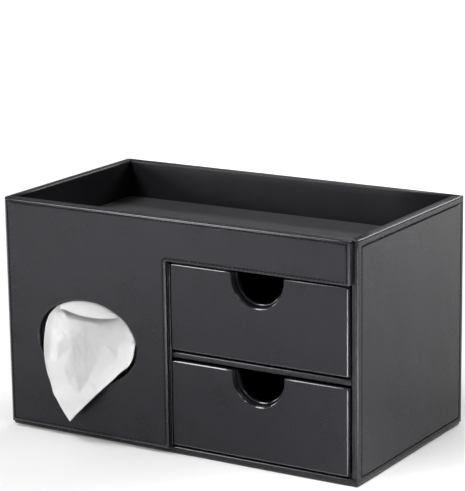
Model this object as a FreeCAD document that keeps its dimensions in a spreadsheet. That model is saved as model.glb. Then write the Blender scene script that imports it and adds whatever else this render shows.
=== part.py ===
import FreeCAD, Part

import os
import re
import Sketcher

# Desk-top tissue box with two drawers, wrapped in black imitation leather.
#
# Frame: +X to the right of the box, +Y from the front to the back, +Z up.
# Origin: middle of the footprint of the carcass, on the face it stands on.
# Left half: tissue compartment with an oval dispensing hole in the front and
# a hinged loading flap in the back. Right half: two drawers, one above the
# other, each with a finger notch in its top edge. Over both: an open tray.

doc = FreeCAD.newDocument("tissue_box_with_drawers")
sheet = doc.addObject("Spreadsheet::Sheet", "Dims")

DIMS = [
    # carcass
    ("case_width", 300.0, "outside width over the side covers"),
    ("case_depth", 165.0, "carcass depth, front edge of the walls to the back cover"),
    ("case_height", 177.0, "floor to rim"),
    ("wall_thick", 3.8, "side, back and front boards"),
    ("cover_thick", 1.8, "padded outer covers on the sides and the back"),
    ("cover_lift", 1.2, "covers and walls stop this far above the floor"),
    ("sheet_thick", 1.2, "non-slip felt under the base"),
    ("sheet_inset", 1.0, "felt edge to the outer face"),
    ("base_top", 5.4, "top face of the base board"),
    # front panel laid over the carcass
    ("panel_thick", 5.0, "front panel, board and skin"),
    ("skin_thick", 0.8, "imitation leather with its backing"),
    ("panel_inset", 4.2, "front panel end to the outer face"),
    ("panel_low", 4.4, "lower edge of the front panel"),
    ("leg_right", 141.6, "right edge of the panel's leg from its left edge"),
    ("band_low", 145.2, "lower edge of the panel's band over the drawers"),
    ("oval_from_left", 71.2, "oval's centre from the panel's left edge"),
    ("oval_up", 75.6, "oval's centre above the floor"),
    ("oval_rx", 43.4, "oval half width"),
    ("oval_rz", 31.2, "oval half height"),
    # inside boards
    ("partition_right", 146.6, "right face of the partition from the outer left face"),
    ("partition_thick", 4.2, "partition between tissue and drawers"),
    ("shelf_low", 73.0, "lower face of the board between the drawers"),
    ("shelf_thick", 4.6, "board between the drawers"),
    ("tray_low", 143.4, "lower face of the tray floor"),
    ("tray_thick", 3.8, "tray floor"),
    ("mat_thick", 1.0, "tray mat and drawer mats"),
    ("lining_thick", 2.0, "tray wall linings"),
    # drawers
    ("face_left", 148.4, "drawer face's left edge from the outer left face"),
    ("face_width", 144.6, "drawer face"),
    ("face_height", 64.0, "drawer face"),
    ("face_thick", 4.4, "drawer face, board and skin"),
    ("face_proud", 2.0, "drawer face in front of the carcass edge"),
    ("face_up_lower", 7.4, "lower face's bottom edge"),
    ("face_up_upper", 79.6, "upper face's bottom edge"),
    ("drawer_up_lower", 5.7, "lower drawer's underside"),
    ("drawer_up_upper", 77.9, "upper drawer's underside"),
    ("drawer_inset", 0.4, "drawer box narrower than its face, each side"),
    ("drawer_wall", 3.6, "drawer boards"),
    ("front_drop", 0.7, "drawer's front board below the face's top edge"),
    ("drawer_floor", 3.0, "drawer bottom"),
    ("drawer_height", 64.2, "drawer box"),
    ("drawer_back", 72.5, "rear face of the drawer box"),
    ("notch_r", 21.3, "finger notch in the face"),
    ("notch_drop", 2.8, "notch centre below the face's top edge"),
    ("notch_inner_r", 19.1, "finger notch in the drawer's front board"),
    # loading flap
    ("flap_left", 13.0, "flap's left edge from the outer left face"),
    ("flap_width", 121.0, "flap"),
    ("flap_low", 11.0, "flap's lower edge"),
    ("flap_top", 134.0, "hinge line"),
    ("flap_thick", 4.4, "flap, board and skin"),
    ("flap_gap", 0.8, "gap round the flap"),
    ("stop_front", 73.9, "front face of the stop strip"),
    ("stop_back", 77.9, "rear face of the stop strip"),
    ("stop_top", 21.0, "top of the stop strip"),
    ("magnet_r", 3.5, "magnet disc"),
    ("magnet_thick", 2.0, "magnet disc"),
    ("magnet_up", 16.0, "magnet centre"),
    ("magnet_in", 20.0, "magnet centre from the flap's edge"),
    ("hinge_tall", 12.0, "hinge leather above the hinge line"),
    ("hinge_thick", 0.8, "hinge leather"),
    ("tab_width", 14.0, "pull tab"),
    ("tab_low", 3.0, "pull tab's lower end"),
    ("tab_tall", 17.0, "pull tab"),
    # tissues
    ("pack_left", 19.0, "pack from the outer left face"),
    ("pack_width", 110.0, "folded tissue width"),
    ("pack_front", -42.0, "pack's front face"),
    ("pack_deep", 103.0, "stack of folded tissues"),
    ("pack_tall", 113.0, "folded tissue height"),
    ("pack_radius", 3.0, "soft edges of the pack"),
    ("pack_wall", 3.6, "wall round the pack's hollow"),
    ("tissue_wall", 1.6, "wall of the tissue's throat"),
    ("sheet_out", 4.2, "pulled tissue in front of the panel"),
    ("sheet_clear", 0.3, "pulled tissue to the panel"),
]
VALUE = {}
for row, (alias, number, note) in enumerate(DIMS, start=1):
    sheet.set("A%d" % row, alias)
    sheet.set("B%d" % row, repr(number))
    sheet.set("C%d" % row, note)
    sheet.setAlias("B%d" % row, alias)
    VALUE[alias] = number
doc.recompute()

WORD = re.compile(r"[a-z][a-z_]*[a-z]")


def bound(text):
    """The text of a size with each of its words bound to the sheet."""
    return WORD.sub(lambda m: "Dims." + m.group(0) if m.group(0) in VALUE else m.group(0), text)


def number(text):
    """The value of a size: sums, products and quotients of sheet words."""
    total = 0.0
    for sign, term in re.findall(r"([+-]?)\s*([^+\-\s]+)", text.replace(" ", "")):
        value = 1.0
        for op, factor in re.findall(r"([*/]?)([A-Za-z_0-9.]+)", term):
            f = VALUE[factor] if factor in VALUE else float(factor)
            value = value / f if op == "/" else value * f
        total += -value if sign == "-" else value
    return total


def drive(obj, prop, text):
    obj.setExpression(prop, bound(text))


def place(obj, x, y, z):
    drive(obj, "Placement.Base.x", x)
    drive(obj, "Placement.Base.y", y)
    drive(obj, "Placement.Base.z", z)


NODES = []


def board(name, x, y, z, keep=True):
    """A flat board as a box: each of x, y, z is (low, size)."""
    b = doc.addObject("Part::Box", name)
    b.Label = name
    drive(b, "Length", x[1])
    drive(b, "Width", y[1])
    drive(b, "Height", z[1])
    place(b, x[0], y[0], z[0])
    if keep:
        NODES.append(b)
    return b


def new_body(name, x, y, z):
    body = doc.addObject("PartDesign::Body", name)
    body.Label = name
    place(body, x, y, z)
    NODES.append(body)
    return body


def plane_of(body, role):
    for feature in body.Origin.OriginFeatures:
        if feature.Role == role:
            return feature
    raise RuntimeError("no plane " + role)


def new_sketch(body, name, role="XZ_Plane", offset=None):
    sk = body.newObject("Sketcher::SketchObject", name)
    sk.AttachmentSupport = [(plane_of(body, role), "")]
    sk.MapMode = "FlatFace"
    if offset is not None:
        # the XZ plane's normal is -Y, so an offset into +Y is negative
        drive(sk, "AttachmentOffset.Base.z", offset)
    return sk


def pin(sk, geo, pos, x, y):
    """Pin a sketch point at (x, y) with named, sheet-driven constraints."""
    for axis, kind, text in ((-2, "DistanceX", x), (-1, "DistanceY", y)):
        value = number(text)
        if abs(value) < 1e-9:
            sk.addConstraint(Sketcher.Constraint("PointOnObject", geo, pos, axis))
        else:
            i = sk.addConstraint(Sketcher.Constraint(kind, -1, 1, geo, pos, value))
            drive(sk, "Constraints[%d]" % i, text)


def polygon(sk, points):
    """Closed outline through points given as size texts."""
    v = [FreeCAD.Vector(number(a), number(b), 0) for a, b in points]
    n = len(points)
    ids = [sk.addGeometry(Part.LineSegment(v[i], v[(i + 1) % n]), False) for i in range(n)]
    for i in range(n):
        sk.addConstraint(Sketcher.Constraint("Coincident", ids[i], 2, ids[(i + 1) % n], 1))
    for i in range(n):
        pin(sk, ids[i], 1, points[i][0], points[i][1])


def oval(sk, cx, cy, rx, ry):
    c = FreeCAD.Vector(number(cx), number(cy), 0)
    major, minor = number(rx), number(ry)
    e = sk.addGeometry(Part.Ellipse(c + FreeCAD.Vector(major, 0, 0),
                                    c + FreeCAD.Vector(0, minor, 0), c), False)
    sk.exposeInternalGeometry(e)
    pin(sk, e, 3, cx, cy)
    sk.addConstraint(Sketcher.Constraint("Horizontal", e + 1))
    i = sk.addConstraint(Sketcher.Constraint("Distance", e + 1, 2 * major))
    drive(sk, "Constraints[%d]" % i, "2*(" + rx + ")")
    i = sk.addConstraint(Sketcher.Constraint("Distance", e + 2, 2 * minor))
    drive(sk, "Constraints[%d]" % i, "2*(" + ry + ")")


def circle(sk, cx, cy, r):
    g = sk.addGeometry(Part.Circle(FreeCAD.Vector(number(cx), number(cy), 0),
                                   FreeCAD.Vector(0, 0, 1), number(r)), False)
    pin(sk, g, 3, cx, cy)
    i = sk.addConstraint(Sketcher.Constraint("Radius", g, number(r)))
    drive(sk, "Constraints[%d]" % i, r)


def notched(sk, left, right, low, top, cx, cy, r):
    """Rectangle with a round-bottomed notch let into its top edge."""
    l, ri, lo, to = number(left), number(right), number(low), number(top)
    x, y, rad = number(cx), number(cy), number(r)
    V = FreeCAD.Vector
    pts = [V(x - rad, to, 0), V(l, to, 0), V(l, lo, 0), V(ri, lo, 0), V(ri, to, 0), V(x + rad, to, 0)]
    ids = [sk.addGeometry(Part.LineSegment(pts[i], pts[i + 1]), False) for i in range(5)]
    side_r = sk.addGeometry(Part.LineSegment(pts[5], V(x + rad, y, 0)), False)
    arc = sk.addGeometry(Part.ArcOfCircle(Part.Circle(V(x, y, 0), V(0, 0, 1), rad),
                                          3.141592653589793, 6.283185307179586), False)
    side_l = sk.addGeometry(Part.LineSegment(V(x - rad, y, 0), pts[0]), False)
    C = Sketcher.Constraint
    for a, b in zip(ids, ids[1:]):
        sk.addConstraint(C("Coincident", a, 2, b, 1))
    sk.addConstraint(C("Coincident", ids[4], 2, side_r, 1))
    sk.addConstraint(C("Coincident", side_r, 2, arc, 2))
    sk.addConstraint(C("Coincident", arc, 1, side_l, 1))
    sk.addConstraint(C("Coincident", side_l, 2, ids[0], 1))
    pin(sk, arc, 3, cx, cy)
    i = sk.addConstraint(C("Radius", arc, rad))
    drive(sk, "Constraints[%d]" % i, r)
    sk.addConstraint(C("Horizontal", arc, 1, arc, 3))
    sk.addConstraint(C("Horizontal", arc, 2, arc, 3))
    sk.addConstraint(C("Vertical", side_r))
    sk.addConstraint(C("Vertical", side_l))
    sk.addConstraint(C("Horizontal", ids[0]))
    sk.addConstraint(C("Horizontal", ids[4]))
    pin(sk, ids[1], 1, left, top)
    pin(sk, ids[2], 1, left, low)
    pin(sk, ids[3], 1, right, low)
    pin(sk, ids[4], 1, right, top)


def pad(body, sk, length, name, back=True):
    p = body.newObject("PartDesign::Pad", name)
    p.Profile = sk
    p.Reversed = back          # the XZ plane looks to -Y, so this goes to +Y
    drive(p, "Length", length)
    sk.Visibility = False
    doc.recompute()
    return p


def pocket(body, sk, length, name, back=True):
    """Cut from the sketch towards +Y, and make sure that it cut something."""
    before = body.Shape.Volume
    p = body.newObject("PartDesign::Pocket", name)
    p.Profile = sk
    p.Reversed = not back      # a pocket runs against the normal, so +Y is its own way
    drive(p, "Length", length)
    sk.Visibility = False
    doc.recompute()
    if not body.Shape.Volume < before - 1e-3:
        raise RuntimeError(name + " cut nothing")
    return p


# ---------------------------------------------------------------- carcass
half = "case_width/2"
front = "0-case_depth/2"
back_face = "case_depth/2"
# inner face of the back board, and of the side boards
y_in = "case_depth/2-cover_thick-wall_thick"
x_left = "0-case_width/2+cover_thick"
x_in = "0-case_width/2+cover_thick+wall_thick"
in_width = "case_width-2*cover_thick-2*wall_thick"
in_depth = "case_depth-cover_thick-wall_thick"

board("underside_felt",
      ("0-case_width/2+sheet_inset", "case_width-2*sheet_inset"),
      ("0-case_depth/2+sheet_inset/2", "case_depth-sheet_inset"),
      ("0", "sheet_thick"))
board("base_board", (x_left, "case_width-2*cover_thick"), (front, "case_depth-cover_thick"),
      ("sheet_thick", "base_top-sheet_thick"))
board("left_wall_board", (x_left, "wall_thick"), (front, "case_depth-cover_thick"),
      ("base_top", "case_height-base_top"))
board("right_wall_board", ("case_width/2-cover_thick-wall_thick", "wall_thick"),
      (front, "case_depth-cover_thick"), ("base_top", "case_height-base_top"))

# back board with the loading opening
whole = board("back_board_blank", (x_in, in_width), (y_in, "wall_thick"),
              ("base_top", "case_height-base_top"), keep=False)
hole = board("back_board_opening",
             ("0-case_width/2+flap_left-flap_gap", "flap_width+2*flap_gap"),
             ("case_depth/2-cover_thick-2*wall_thick", "3*wall_thick"),
             ("flap_low-flap_gap", "flap_top-flap_low+flap_gap+flap_gap/2"), keep=False)
back_board = doc.addObject("Part::Cut", "back_board")
back_board.Label = "back_board"
back_board.Base, back_board.Tool = whole, hole
NODES.append(back_board)

board("partition_board",
      ("0-case_width/2+partition_right-partition_thick", "partition_thick"),
      (front, in_depth), ("base_top", "tray_low-base_top"))
board("drawer_shelf",
      ("0-case_width/2+partition_right",
       "case_width-cover_thick-wall_thick-partition_right"),
      (front, in_depth), ("shelf_low", "shelf_thick"))
board("tray_floor_board", (x_in, in_width),
      ("0-case_depth/2+wall_thick", "case_depth-cover_thick-2*wall_thick"),
      ("tray_low", "tray_thick"))

# front board of the carcass: an upside-down L with the oval hole
fb = new_body("front_board", x_in, front, "base_top")
sk = new_sketch(fb, "front_board_outline")
leg = "partition_right-partition_thick-cover_thick-wall_thick"
polygon(sk, [("0", "0"), (leg, "0"), (leg, "band_low-base_top"),
             (in_width, "band_low-base_top"), (in_width, "case_height-base_top"),
             ("0", "case_height-base_top")])
pad(fb, sk, "wall_thick", "front_board_pad")
sk = new_sketch(fb, "front_board_oval")
oval(sk, "oval_from_left+panel_inset-cover_thick-wall_thick", "oval_up-base_top",
     "oval_rx", "oval_rz")
pocket(fb, sk, "wall_thick", "front_board_hole")

# ---------------------------------------------------------------- front panel
px = "0-case_width/2+panel_inset"
py = "0-case_depth/2-panel_thick"
panel_w = "case_width-2*panel_inset"
panel_h = "case_height-panel_low"
L_OUT = [("0", "0"), ("leg_right", "0"), ("leg_right", "band_low-panel_low"),
         (panel_w, "band_low-panel_low"), (panel_w, panel_h), ("0", panel_h)]
L_IN = [("skin_thick", "skin_thick"), ("leg_right-skin_thick", "skin_thick"),
        ("leg_right-skin_thick", "band_low-panel_low+skin_thick"),
        (panel_w + "-skin_thick", "band_low-panel_low+skin_thick"),
        (panel_w + "-skin_thick", panel_h + "-skin_thick"),
        ("skin_thick", panel_h + "-skin_thick")]

pb = new_body("front_panel_board", px, py, "panel_low")
sk = new_sketch(pb, "panel_board_outline", offset="0-skin_thick")
polygon(sk, L_IN)
pad(pb, sk, "panel_thick-skin_thick", "panel_board_pad")
sk = new_sketch(pb, "panel_board_oval", offset="0-skin_thick")
oval(sk, "oval_from_left", "oval_up-panel_low", "oval_rx+skin_thick", "oval_rz+skin_thick")
pocket(pb, sk, "panel_thick", "panel_board_hole")

pc = new_body("front_panel_cover", px, py, "panel_low")
sk = new_sketch(pc, "panel_cover_outline")
polygon(sk, L_OUT)
pad(pc, sk, "panel_thick", "panel_cover_pad")
sk = new_sketch(pc, "panel_cover_recess", offset="0-skin_thick")
polygon(sk, L_IN)
oval(sk, "oval_from_left", "oval_up-panel_low", "oval_rx+skin_thick", "oval_rz+skin_thick")
pocket(pc, sk, "panel_thick-skin_thick", "panel_cover_hollow")
sk = new_sketch(pc, "panel_cover_oval")
oval(sk, "oval_from_left", "oval_up-panel_low", "oval_rx", "oval_rz")
pocket(pc, sk, "panel_thick", "panel_cover_hole")

# ---------------------------------------------------------------- outer covers
board("left_side_cover", ("0-case_width/2", "cover_thick"), (front, "case_depth"),
      ("cover_lift", "case_height-cover_lift"))
board("right_side_cover", ("case_width/2-cover_thick", "cover_thick"), (front, "case_depth"),
      ("cover_lift", "case_height-cover_lift"))
bc = new_body("back_cover", x_left, "case_depth/2-cover_thick", "cover_lift")
sk = new_sketch(bc, "back_cover_outline")
bw = "case_width-2*cover_thick"
polygon(sk, [("0", "0"), (bw, "0"), (bw, "case_height-cover_lift"), ("0", "case_height-cover_lift")])
pad(bc, sk, "cover_thick", "back_cover_pad")
sk = new_sketch(bc, "back_cover_opening")
fl = "flap_left-flap_gap-cover_thick"
fr = "flap_left+flap_width+flap_gap-cover_thick"
polygon(sk, [(fl, "flap_low-flap_gap-cover_lift"), (fr, "flap_low-flap_gap-cover_lift"),
             (fr, "flap_top-cover_lift+flap_gap/2"), (fl, "flap_top-cover_lift+flap_gap/2")])
pocket(bc, sk, "cover_thick", "back_cover_hole")

# ---------------------------------------------------------------- tray
tray_top = "case_height-tray_low-tray_thick"
floor_z = "tray_low+tray_thick"
board("tray_lining_front", (x_in, in_width), ("0-case_depth/2+wall_thick", "lining_thick"),
      (floor_z, tray_top))
board("tray_lining_back", (x_in, in_width), (y_in + "-lining_thick", "lining_thick"),
      (floor_z, tray_top))
ld = "case_depth-cover_thick-2*wall_thick-2*lining_thick"
board("tray_lining_left", (x_in, "lining_thick"),
      ("0-case_depth/2+wall_thick+lining_thick", ld), (floor_z, tray_top))
board("tray_lining_right", ("case_width/2-cover_thick-wall_thick-lining_thick", "lining_thick"),
      ("0-case_depth/2+wall_thick+lining_thick", ld), (floor_z, tray_top))
board("tray_mat", (x_in + "+lining_thick", in_width + "-2*lining_thick"),
      ("0-case_depth/2+wall_thick+lining_thick", ld), (floor_z, "mat_thick"))


# ---------------------------------------------------------------- drawers
def drawer(prefix, face_up, box_up):
    left = "0-case_width/2+face_left"
    face_y = "0-case_depth/2-face_proud"
    # face: board with a notch, and the skin wrapped over its front and edges
    b = new_body(prefix + "_face_board", left, face_y, face_up)
    s = new_sketch(b, prefix + "_face_board_outline", offset="0-skin_thick")
    notched(s, "skin_thick", "face_width-skin_thick", "skin_thick", "face_height-skin_thick",
            "face_width/2", "face_height-notch_drop", "notch_r+skin_thick")
    pad(b, s, "face_thick-skin_thick", prefix + "_face_board_pad")
    c = new_body(prefix + "_face_cover", left, face_y, face_up)
    s = new_sketch(c, prefix + "_face_cover_outline")
    notched(s, "0", "face_width", "0", "face_height",
            "face_width/2", "face_height-notch_drop", "notch_r")
    pad(c, s, "face_thick", prefix + "_face_cover_pad")
    s = new_sketch(c, prefix + "_face_cover_recess", offset="0-skin_thick")
    notched(s, "skin_thick", "face_width-skin_thick", "skin_thick", "face_height-skin_thick",
            "face_width/2", "face_height-notch_drop", "notch_r+skin_thick")
    pocket(c, s, "face_thick-skin_thick", prefix + "_face_cover_hollow")
    # box behind the face: boards on a bottom board
    bx = left + "+drawer_inset"
    bwid = "face_width-2*drawer_inset"
    by = "0-case_depth/2-face_proud+face_thick"
    bz = box_up + "+drawer_floor"
    bh = "drawer_height-drawer_floor"
    f = new_body(prefix + "_box_front", bx, by, bz)
    s = new_sketch(f, prefix + "_box_front_outline")
    fh = "face_height-front_drop+" + face_up + "-" + box_up + "-drawer_floor"
    notched(s, "0", bwid, "0", fh, "face_width/2-drawer_inset",
            "face_height-notch_drop+" + face_up + "-" + box_up + "-drawer_floor", "notch_inner_r")
    pad(f, s, "drawer_wall", prefix + "_box_front_pad")
    inner = "drawer_back+case_depth/2+face_proud-face_thick-2*drawer_wall"
    board(prefix + "_box_left", (bx, "drawer_wall"), (by + "+drawer_wall", inner), (bz, bh))
    board(prefix + "_box_right", (bx + "+face_width-2*drawer_inset-drawer_wall", "drawer_wall"),
          (by + "+drawer_wall", inner), (bz, bh))
    board(prefix + "_box_back", (bx, bwid), ("drawer_back-drawer_wall", "drawer_wall"), (bz, bh))
    board(prefix + "_box_bottom", (bx, bwid),
          (by, "drawer_back+case_depth/2+face_proud-face_thick"), (box_up, "drawer_floor"))
    board(prefix + "_box_mat", (bx + "+drawer_wall", bwid + "-2*drawer_wall"),
          (by + "+drawer_wall", inner), (bz, "mat_thick"))


drawer("upper_drawer", "face_up_upper", "drawer_up_upper")
drawer("lower_drawer", "face_up_lower", "drawer_up_lower")

# ---------------------------------------------------------------- loading flap
fx = "0-case_width/2+flap_left"
fb_w, fb_h = "flap_width", "flap_top-flap_low"
fl_y = "case_depth/2-flap_thick"
b = new_body("flap_board", fx, fl_y, "flap_low")
s = new_sketch(b, "flap_board_outline")
polygon(s, [("0", "0"), (fb_w, "0"), (fb_w, fb_h), ("0", fb_h)])
pad(b, s, "flap_thick-skin_thick", "flap_board_pad")
s = new_sketch(b, "flap_magnet_seats")
circle(s, "magnet_in", "magnet_up-flap_low", "magnet_r+0.1")
circle(s, "flap_width-magnet_in", "magnet_up-flap_low", "magnet_r+0.1")
pocket(b, s, "magnet_thick+0.2", "flap_magnet_pockets")
board("flap_cover", (fx, fb_w), ("case_depth/2-skin_thick", "skin_thick"), ("flap_low", fb_h))

# rebated strip that the flap closes against, standing on the base board
b = new_body("flap_stop_strip", fx, "0", "base_top")
s = new_sketch(b, "flap_stop_section", role="YZ_Plane")
polygon(s, [("stop_front", "0"), (y_in + "-0.1", "0"), (y_in + "-0.1", "flap_low-flap_gap-base_top+0.3"),
            ("stop_back", "flap_low-flap_gap-base_top+0.3"), ("stop_back", "stop_top-base_top"),
            ("stop_front", "stop_top-base_top")])
p = b.newObject("PartDesign::Pad", "flap_stop_pad")
p.Profile = s
drive(p, "Length", "flap_width")
s.Visibility = False
doc.recompute()
before = b.Shape.Volume
s = new_sketch(b, "stop_magnet_seats", offset="0-stop_back")
circle(s, "magnet_in", "magnet_up-base_top", "magnet_r+0.1")
circle(s, "flap_width-magnet_in", "magnet_up-base_top", "magnet_r+0.1")
pocket(b, s, "magnet_thick+0.2", "stop_magnet_pockets", back=False)


def magnets(name, y):
    """Two discs as one node, axis along Y."""
    discs = []
    for side, dx in (("a", "magnet_in"), ("b", "flap_width-magnet_in")):
        c = doc.addObject("Part::Cylinder", name + "_" + side)
        c.Label = name + "_" + side
        drive(c, "Radius", "magnet_r")
        drive(c, "Height", "magnet_thick")
        c.Placement.Rotation = FreeCAD.Rotation(FreeCAD.Vector(1, 0, 0), -90)
        place(c, fx + "+" + dx, y, "magnet_up")
        discs.append(c)
    group = doc.addObject("Part::Compound", name)
    group.Label = name
    group.Links = discs
    NODES.append(group)


magnets("flap_magnets", fl_y + "+0.1")
magnets("stop_magnets", "stop_back-magnet_thick-0.1")

board("flap_hinge_leather", (fx, fb_w), (back_face, "hinge_thick"),
      ("flap_top+0.8", "hinge_tall-0.8"))
board("flap_pull_tab", (fx + "+flap_width/2-tab_width/2", "tab_width"),
      (back_face + "+0.1", "hinge_thick"), ("tab_low", "tab_tall"))

# ---------------------------------------------------------------- tissues
b = new_body("tissue_pack", "0-case_width/2+pack_left", "pack_front", "base_top+0.2")
s = new_sketch(b, "pack_outline")
polygon(s, [("0", "0"), ("pack_width", "0"), ("pack_width", "pack_tall"), ("0", "pack_tall")])
p = pad(b, s, "pack_deep", "pack_pad")
edges = []
for i, e in enumerate(p.Shape.Edges, start=1):
    a, c = e.Vertexes[0].Point, e.Vertexes[-1].Point
    if abs(a.y - c.y) > 50:
        edges.append("Edge%d" % i)
f = b.newObject("PartDesign::Fillet", "pack_soft_edges")
f.Base = (p, edges)
drive(f, "Radius", "pack_radius")
doc.recompute()
# the loose stack is mostly air: a sealed hollow keeps its weight true
before = b.Shape.Volume
core = b.newObject("PartDesign::SubtractiveBox", "pack_hollow")
drive(core, "Length", "pack_width-2*pack_wall")
drive(core, "Width", "pack_deep-2*pack_wall")
drive(core, "Height", "pack_tall-2*pack_wall")
place(core, "pack_wall", "pack_wall", "pack_wall")
doc.recompute()
if not b.Shape.Volume < before / 2:
    raise RuntimeError("the pack stayed solid")

# The pulled tissue: a tapering throat from the pack out through the oval,
# and a leaf hanging to a point in front of the panel.
tx0 = "0-case_width/2+panel_inset"
ty0 = "0-case_depth/2-panel_thick-sheet_clear-sheet_out"
b = new_body("tissue_sheet", tx0, ty0, "0")
s = new_sketch(b, "tissue_leaf_outline")
polygon(s, [("33.6", "64"), ("34.8", "48"), ("40.6", "31"), ("46.7", "21.5"),
            ("54.6", "12"), ("56.4", "12.2"), ("83.7", "37.8"), ("110", "62"), ("111", "64")])
pad(b, s, "sheet_out", "tissue_leaf")
s1 = new_sketch(b, "tissue_throat_front")
oval(s1, "70.8", "72.5", "37", "22")
s2 = new_sketch(b, "tissue_throat_mid", offset="0-panel_thick-sheet_out-wall_thick-6")
oval(s2, "70.8", "71", "30", "16")
s3 = new_sketch(b, "tissue_throat_rear", offset="0-pack_front+" + ty0 + "+0.2")
oval(s3, "70", "66", "16", "7")
loft = b.newObject("PartDesign::AdditiveLoft", "tissue_throat")
loft.Profile = s1
loft.Sections = [s2, s3]
loft.Ruled = True
for k in (s1, s2, s3):
    k.Visibility = False
doc.recompute()
# the throat is a gathered sheet round a hollow that is open at the pack
before = b.Shape.Volume
h1 = new_sketch(b, "tissue_hollow_front", offset="0-sheet_out")
oval(h1, "70.8", "72.5", "37-2*tissue_wall", "22-2*tissue_wall")
h2 = new_sketch(b, "tissue_hollow_mid", offset="0-panel_thick-sheet_out-wall_thick-6")
oval(h2, "70.8", "71", "30-tissue_wall", "16-tissue_wall")
h3 = new_sketch(b, "tissue_hollow_rear", offset="0-pack_front+" + ty0 + "-1")
oval(h3, "70", "66", "16-tissue_wall", "7-tissue_wall")
cut = b.newObject("PartDesign::SubtractiveLoft", "tissue_hollow")
cut.Profile = h1
cut.Sections = [h2, h3]
cut.Ruled = True
for k in (h1, h2, h3):
    k.Visibility = False
doc.recompute()
if not b.Shape.Volume < before - 1000:
    raise RuntimeError("the tissue stayed solid")

# ---------------------------------------------------------------- check and write
doc.recompute()
bad = [o.Name for o in doc.Objects if any(w in o.State for w in ("Invalid", "Error"))]
if bad:
    raise RuntimeError("failed objects: " + ", ".join(bad))
for node in NODES:
    if node.Shape.isNull() or not node.Shape.isValid():
        raise RuntimeError("bad shape: " + node.Label)
    if not node.Shape.Solids or node.Shape.Volume <= 0:
        raise RuntimeError("no solid: " + node.Label)
if len(NODES) > 60 or len({n.Label for n in NODES}) != len(NODES):
    raise RuntimeError("node list")

os.makedirs("parts", exist_ok=True)
for old in os.listdir("parts"):
    if old.endswith(".step") and old[:-5] not in {n.Label for n in NODES}:
        os.remove(os.path.join("parts", old))
for node in NODES:
    node.Shape.exportStep("parts/%s.step" % node.Label)
    box = node.Shape.BoundBox
    print("%-26s x %8.2f %8.2f  y %8.2f %8.2f  z %8.2f %8.2f  vol %10.1f  solids %d" % (
        node.Label, box.XMin, box.XMax, box.YMin, box.YMax, box.ZMin, box.ZMax,
        node.Shape.Volume, len(node.Shape.Solids)))
print(len(NODES), "nodes")
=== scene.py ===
"""Looks of the tissue box with drawers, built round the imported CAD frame."""

import math

import bmesh
import bpy
import numpy as np
from mathutils import Matrix, Vector, noise
from mathutils.geometry import delaunay_2d_cdt


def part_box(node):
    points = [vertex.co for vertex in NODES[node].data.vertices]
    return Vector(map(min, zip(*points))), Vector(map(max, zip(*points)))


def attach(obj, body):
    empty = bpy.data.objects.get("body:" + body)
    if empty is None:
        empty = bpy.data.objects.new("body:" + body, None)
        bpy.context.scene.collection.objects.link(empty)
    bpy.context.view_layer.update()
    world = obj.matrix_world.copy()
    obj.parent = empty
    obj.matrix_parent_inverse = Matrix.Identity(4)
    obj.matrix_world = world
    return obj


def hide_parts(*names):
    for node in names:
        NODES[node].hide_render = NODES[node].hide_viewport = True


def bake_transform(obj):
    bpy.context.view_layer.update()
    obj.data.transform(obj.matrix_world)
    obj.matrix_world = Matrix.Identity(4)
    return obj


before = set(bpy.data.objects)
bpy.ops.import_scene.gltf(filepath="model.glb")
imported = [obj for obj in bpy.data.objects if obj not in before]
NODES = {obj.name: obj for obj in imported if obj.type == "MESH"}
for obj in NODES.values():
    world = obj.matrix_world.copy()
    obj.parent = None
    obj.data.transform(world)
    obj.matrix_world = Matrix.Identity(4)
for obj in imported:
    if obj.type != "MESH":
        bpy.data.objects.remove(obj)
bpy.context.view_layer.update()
scene = bpy.context.scene


# ------------------------------------------------------------------ camera
def make_camera():
    az, el, roll = (math.radians(a) for a in (31.6164, 13.5851, -0.7564))
    back = Vector((math.sin(az) * math.cos(el), -math.cos(az) * math.cos(el), math.sin(el)))
    x = Vector((0, 0, 1)).cross(back).normalized()
    y = back.cross(x)
    x2 = math.cos(roll) * x + math.sin(roll) * y
    y2 = -math.sin(roll) * x + math.cos(roll) * y
    cam = bpy.data.objects.new("camera", bpy.data.cameras.new("camera"))
    scene.collection.objects.link(cam)
    cam.matrix_world = Matrix.Translation((0.83639, -1.36016, 0.52484)) @ Matrix(
        (x2, y2, back)).transposed().to_4x4()
    cam.data.sensor_width = 36.0
    cam.data.lens = 2198.32 * 36.0 / 491.0
    cam.data.clip_start = 0.05
    cam.data.clip_end = 50.0
    scene.camera = cam


make_camera()
EYE = np.array((836.39, -1360.16, 524.84))

# --------------------------------------------------------------- materials
def new_material(name):
    m = bpy.data.materials.new(name)
    m.use_nodes = True
    nt = m.node_tree
    nt.nodes.clear()
    out = nt.nodes.new("ShaderNodeOutputMaterial")
    p = nt.nodes.new("ShaderNodeBsdfPrincipled")
    nt.links.new(p.outputs[0], out.inputs[0])
    tc = nt.nodes.new("ShaderNodeTexCoord")
    return m, nt, p, tc.outputs["Object"]


def tex_noise(nt, vec, scale, detail=3.0, rough=0.55):
    n = nt.nodes.new("ShaderNodeTexNoise")
    n.inputs["Scale"].default_value = scale
    n.inputs["Detail"].default_value = detail
    n.inputs["Roughness"].default_value = rough
    nt.links.new(vec, n.inputs["Vector"])
    return n.outputs["Fac"]


def remap(nt, value, low, high, to_low, to_high):
    r = nt.nodes.new("ShaderNodeMapRange")
    for key, v in zip(("From Min", "From Max", "To Min", "To Max"), (low, high, to_low, to_high)):
        r.inputs[key].default_value = v
    nt.links.new(value, r.inputs["Value"])
    return r.outputs["Result"]


def maths(nt, op, a, b):
    n = nt.nodes.new("ShaderNodeMath")
    n.operation = op
    for i, v in enumerate((a, b)):
        if isinstance(v, (int, float)):
            n.inputs[i].default_value = v
        else:
            nt.links.new(v, n.inputs[i])
    return n.outputs[0]


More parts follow.
